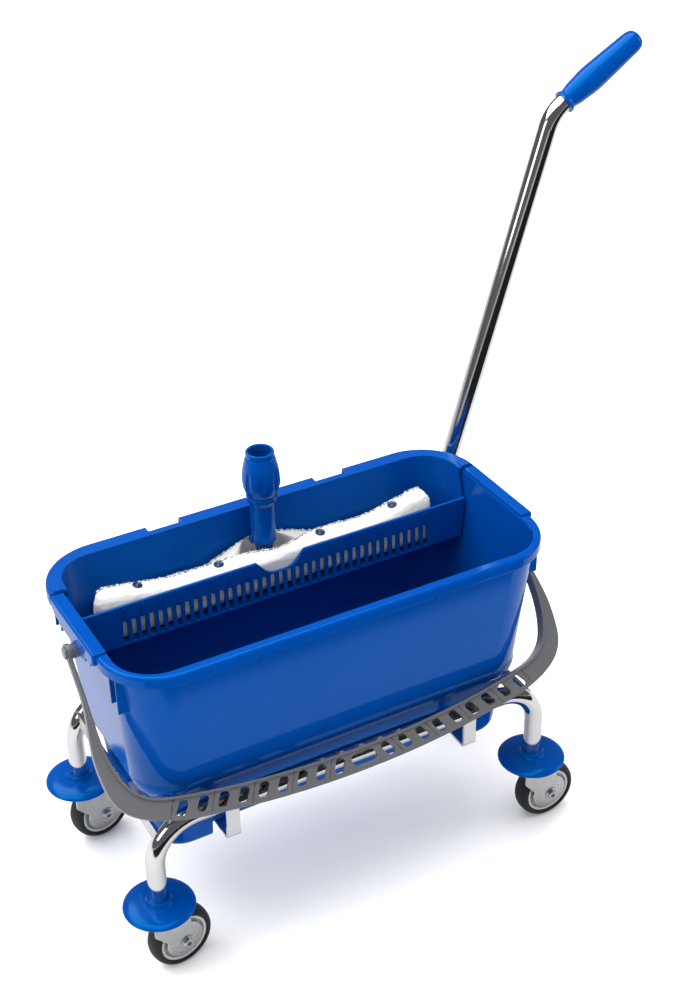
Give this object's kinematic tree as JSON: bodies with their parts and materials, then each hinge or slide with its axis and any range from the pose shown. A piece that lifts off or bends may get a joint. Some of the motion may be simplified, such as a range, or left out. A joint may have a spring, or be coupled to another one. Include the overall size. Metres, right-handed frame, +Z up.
{
  "type": "wheeled flat mop bucket",
  "caption": "Wheeled flat-mop bucket: slotted sieve insert with a folded mop head, swinging slotted carry handle, chrome frame on bumper casters, angled push handle.",
  "frame": {"origin": "on the floor under the centre of the whole object's bounding box", "axes": "+X along the bucket towards the push handle, +Y across it towards the sieve insert, +Z up"},
  "size_m": [0.7928, 0.3132, 0.8684],
  "materials": {
    "blue_plastic": "smooth moulded, glossy",
    "grey_plastic": "satin moulded",
    "black_plastic": "satin moulded",
    "hub_plastic": "satin moulded",
    "chrome": "polished plating",
    "zinc": "bright zinc plating",
    "tyre": "satin dark grey rubber",
    "microfibre": "short white pile"
  },
  "bodies": {
    "chassis": {"front_frame_tube": "chrome", "rear_frame_tube": "chrome", "left_cross_bar": "chrome", "right_cross_bar": "chrome", "left_strap": "chrome", "right_strap": "chrome", "leg_plugs": "chrome", "handle_socket": "chrome", "push_handle_tube": "chrome", "handle_grip": "blue_plastic", "handle_clamp_knob": "black_plastic"},
    "bucket_body": {"bucket": "blue_plastic", "bail_pins": "grey_plastic"},
    "bail": {"bail_handle": "grey_plastic"},
    "insert": {"sieve_insert": "blue_plastic"},
    "mop_head": {"mop_hub": "blue_plastic", "wing_front": "blue_plastic", "wing_back": "blue_plastic", "wing_pins": "zinc", "mop_cover_front": "microfibre", "mop_cover_back": "microfibre", "yoke_pin": "zinc"},
    "tilt_cross": {"tilt_yoke": "blue_plastic", "socket_pin": "zinc"},
    "pole_socket": {"mop_socket": "blue_plastic"},
    "pole_nut": {"socket_clamp_nut": "blue_plastic"},
    "fl_disc": {"fl_bumper_disc": "blue_plastic"},
    "fl_caster": {"fl_fork": "zinc", "fl_kingpin": "zinc", "fl_axle_bolt": "zinc", "fl_axle_nut": "zinc", "fl_thread_guards": "zinc"},
    "fl_wheel": {"fl_wheel_hub": "hub_plastic", "fl_tyre": "tyre"},
    "fr_disc": {"fr_bumper_disc": "blue_plastic"},
    "fr_caster": {"fr_fork": "zinc", "fr_kingpin": "zinc", "fr_axle_bolt": "zinc", "fr_axle_nut": "zinc", "fr_thread_guards": "zinc"},
    "fr_wheel": {"fr_wheel_hub": "hub_plastic", "fr_tyre": "tyre"},
    "bl_disc": {"bl_bumper_disc": "blue_plastic"},
    "bl_caster": {"bl_fork": "zinc", "bl_kingpin": "zinc", "bl_axle_bolt": "zinc", "bl_axle_nut": "zinc", "bl_thread_guards": "zinc"},
    "bl_wheel": {"bl_wheel_hub": "hub_plastic", "bl_tyre": "tyre"},
    "br_disc": {"br_bumper_disc": "blue_plastic"},
    "br_caster": {"br_fork": "zinc", "br_kingpin": "zinc", "br_axle_bolt": "zinc", "br_axle_nut": "zinc", "br_thread_guards": "zinc"},
    "br_wheel": {"br_wheel_hub": "hub_plastic", "br_tyre": "tyre"}
  },
  "joints": [
    {"name": "bucket_lift", "type": "slide", "parent": "chassis", "child": "bucket_body", "axis": [0, 0, 1], "range_m": [0, 0.3]},
    {"name": "bail_swing", "type": "hinge", "parent": "bucket_body", "child": "bail", "pos_m": [-0.11319, 0, 0.3704], "axis": [-1, 0, 0], "range_deg": [0, 145]},
    {"name": "insert_lift", "type": "slide", "parent": "bucket_body", "child": "insert", "axis": [0, 0, 1], "range_m": [0, 0.2]},
    {"name": "mop_lift", "type": "slide", "parent": "insert", "child": "mop_head", "axis": [0, 0, 1], "range_m": [0, 0.25]},
    {"name": "pole_tilt_forward", "type": "hinge", "parent": "mop_head", "child": "tilt_cross", "pos_m": [-0.11319, 0.08906, 0.342], "axis": [1, 0, 0], "range_deg": [-1.5, 8]},
    {"name": "pole_tilt_side", "type": "hinge", "parent": "tilt_cross", "child": "pole_socket", "pos_m": [-0.11319, 0.08906, 0.354], "axis": [0, 1, 0], "range_deg": [-25, 25]},
    {"name": "clamp_nut_turn", "type": "hinge", "parent": "pole_socket", "child": "pole_nut", "pos_m": [-0.11319, 0.08906, 0.45], "axis": [0, 0, 1], "range_deg": [-30, 90]},
    {"name": "fl_disc_turn", "type": "hinge", "parent": "chassis", "child": "fl_disc", "pos_m": [-0.35589, -0.1166, 0.0943], "axis": [0, 0, 1], "continuous": true},
    {"name": "fl_swivel", "type": "hinge", "parent": "chassis", "child": "fl_caster", "pos_m": [-0.35589, -0.1166, 0.08], "axis": [0, 0, 1], "continuous": true},
    {"name": "fl_roll", "type": "hinge", "parent": "fl_caster", "child": "fl_wheel", "pos_m": [-0.33511, -0.11357, 0.0375], "axis": [-0.1444, 0.9895, 0], "continuous": true},
    {"name": "fr_disc_turn", "type": "hinge", "parent": "chassis", "child": "fr_disc", "pos_m": [0.12951, -0.1166, 0.0943], "axis": [0, 0, 1], "continuous": true},
    {"name": "fr_swivel", "type": "hinge", "parent": "chassis", "child": "fr_caster", "pos_m": [0.12951, -0.1166, 0.08], "axis": [0, 0, 1], "continuous": true},
    {"name": "fr_roll", "type": "hinge", "parent": "fr_caster", "child": "fr_wheel", "pos_m": [0.1505, -0.1166, 0.0375], "axis": [0, 1, 0], "continuous": true},
    {"name": "bl_disc_turn", "type": "hinge", "parent": "chassis", "child": "bl_disc", "pos_m": [-0.35589, 0.1166, 0.0943], "axis": [0, 0, 1], "continuous": true},
    {"name": "bl_swivel", "type": "hinge", "parent": "chassis", "child": "bl_caster", "pos_m": [-0.35589, 0.1166, 0.08], "axis": [0, 0, 1], "continuous": true},
    {"name": "bl_roll", "type": "hinge", "parent": "bl_caster", "child": "bl_wheel", "pos_m": [-0.33528, 0.12064, 0.0375], "axis": [-0.1925, 0.9813, 0], "continuous": true},
    {"name": "br_disc_turn", "type": "hinge", "parent": "chassis", "child": "br_disc", "pos_m": [0.12951, 0.1166, 0.0943], "axis": [0, 0, 1], "continuous": true},
    {"name": "br_swivel", "type": "hinge", "parent": "chassis", "child": "br_caster", "pos_m": [0.12951, 0.1166, 0.08], "axis": [0, 0, 1], "continuous": true},
    {"name": "br_roll", "type": "hinge", "parent": "br_caster", "child": "br_wheel", "pos_m": [0.15043, 0.11843, 0.0375], "axis": [-0.0872, 0.9962, 0], "continuous": true}
  ]
}
